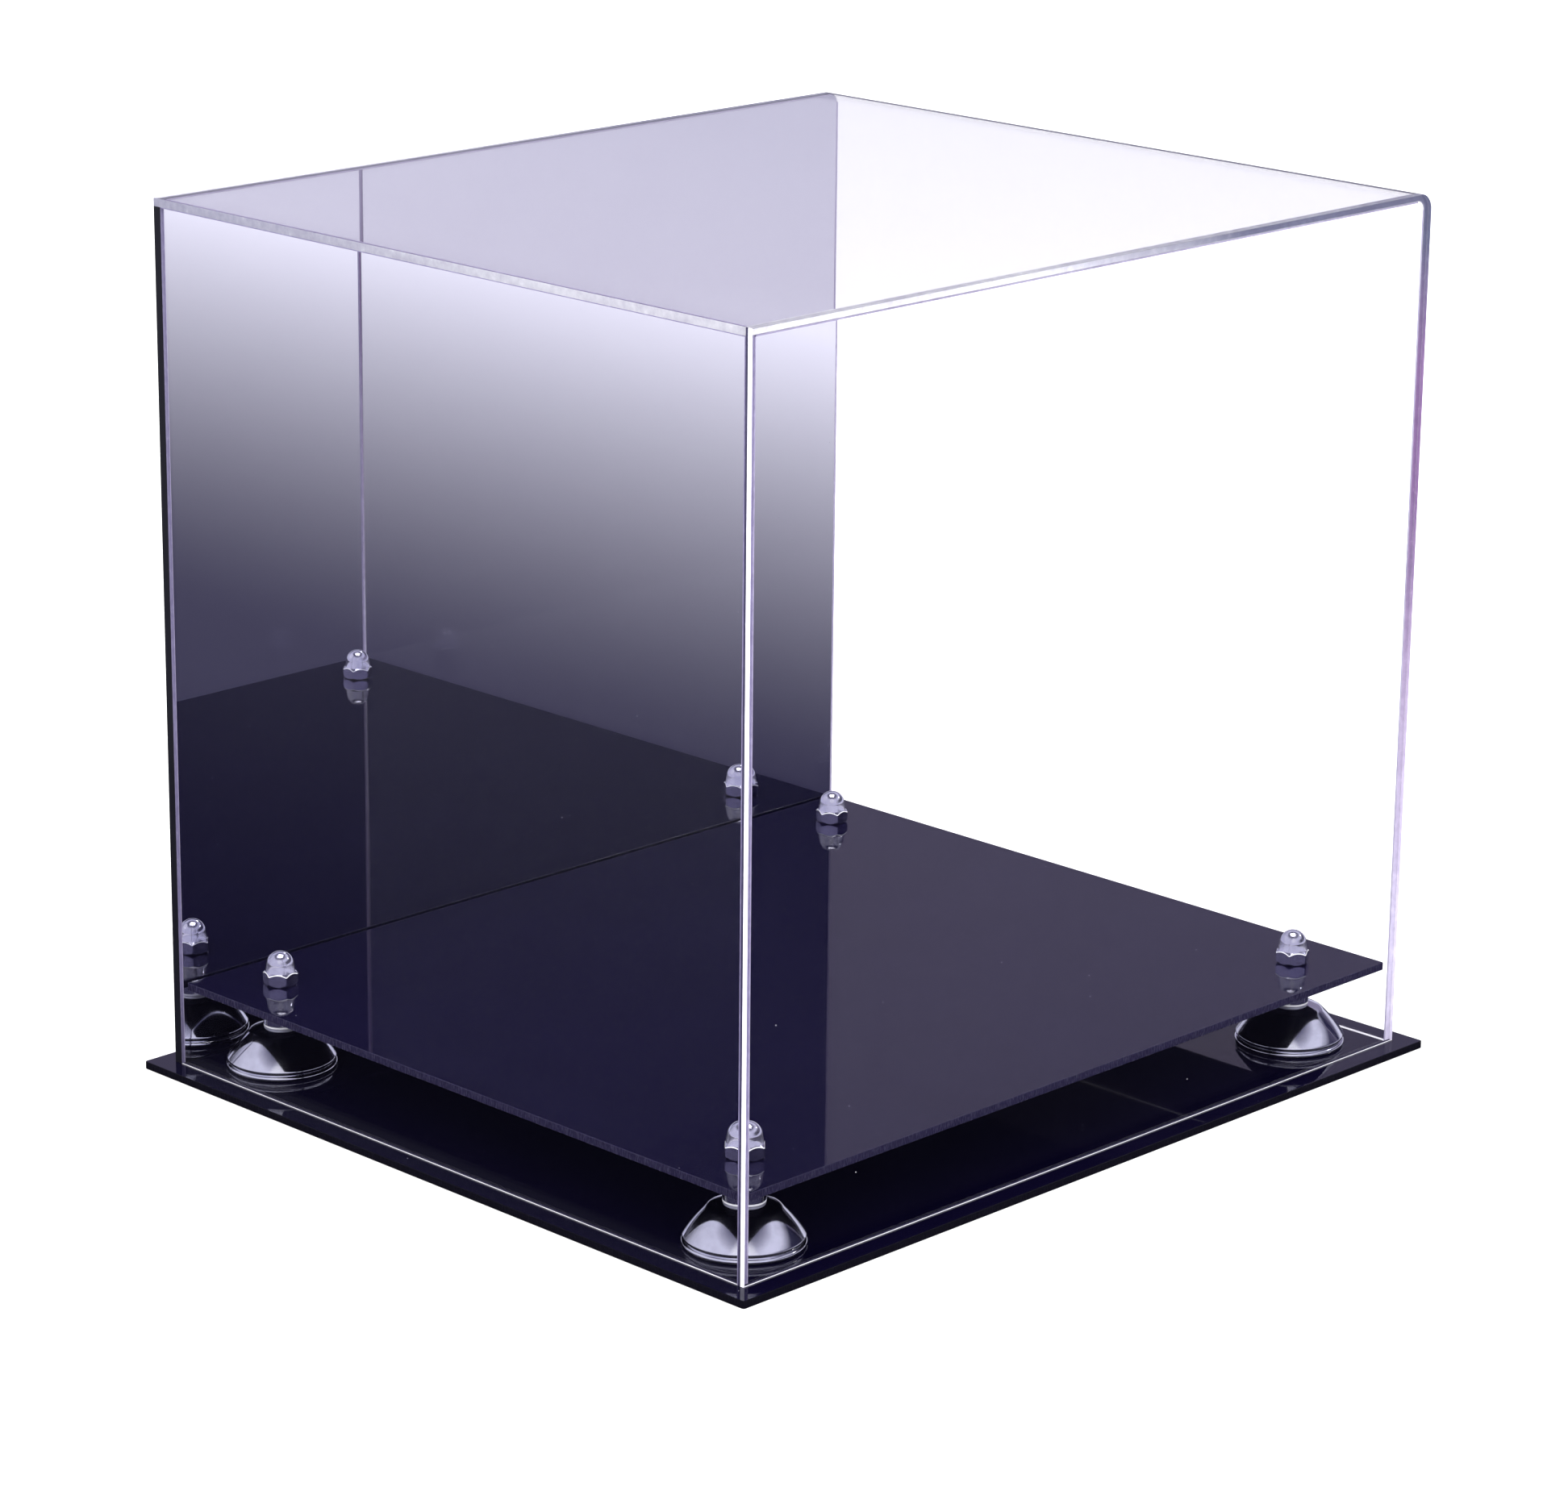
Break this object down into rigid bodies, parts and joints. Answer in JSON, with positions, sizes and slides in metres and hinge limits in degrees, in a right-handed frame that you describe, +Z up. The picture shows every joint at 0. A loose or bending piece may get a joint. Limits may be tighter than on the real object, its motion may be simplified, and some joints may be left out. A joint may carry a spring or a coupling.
{
  "type": "tabletop display case",
  "caption": "Clear lift-off cover with a mirror back wall, over a gloss black base plate and a raised black shelf on polished bell risers with cap nuts.",
  "frame": {"origin": "on the surface it stands on, under the middle of the base plate", "axes": "+Z up, +X towards the right wall seen from the front, +Y from the clear front panel towards the mirror"},
  "size_m": [0.402, 0.35, 0.3632],
  "materials": {
    "black_acrylic": "polished",
    "polished_riser": "polished",
    "screw_steel": "satin",
    "polished_nut": "polished",
    "clear_acrylic": "polished",
    "mirror_acrylic": "polished"
  },
  "bodies": {
    "base": {"base_plate": "black_acrylic", "riser_bell_front_left": "polished_riser", "riser_bell_front_right": "polished_riser", "riser_bell_back_left": "polished_riser", "riser_bell_back_right": "polished_riser", "riser_collar_front_left": "polished_riser", "riser_collar_front_right": "polished_riser", "riser_collar_back_left": "polished_riser", "riser_collar_back_right": "polished_riser", "riser_screw_front_left": "screw_steel", "riser_screw_front_right": "screw_steel", "riser_screw_back_left": "screw_steel", "riser_screw_back_right": "screw_steel", "shelf": "black_acrylic", "cap_nut_front_left": "polished_nut", "cap_nut_front_right": "polished_nut", "cap_nut_back_left": "polished_nut", "cap_nut_back_right": "polished_nut"},
    "cover": {"cover_front_panel": "clear_acrylic", "cover_left_panel": "clear_acrylic", "cover_top_and_right_sheet": "clear_acrylic", "cover_mirror_panel": "mirror_acrylic"}
  },
  "joints": [
    {"name": "cover_lift", "type": "slide", "parent": "base", "child": "cover", "axis": [0, 0, 1], "range_m": [0, 0.36]}
  ]
}
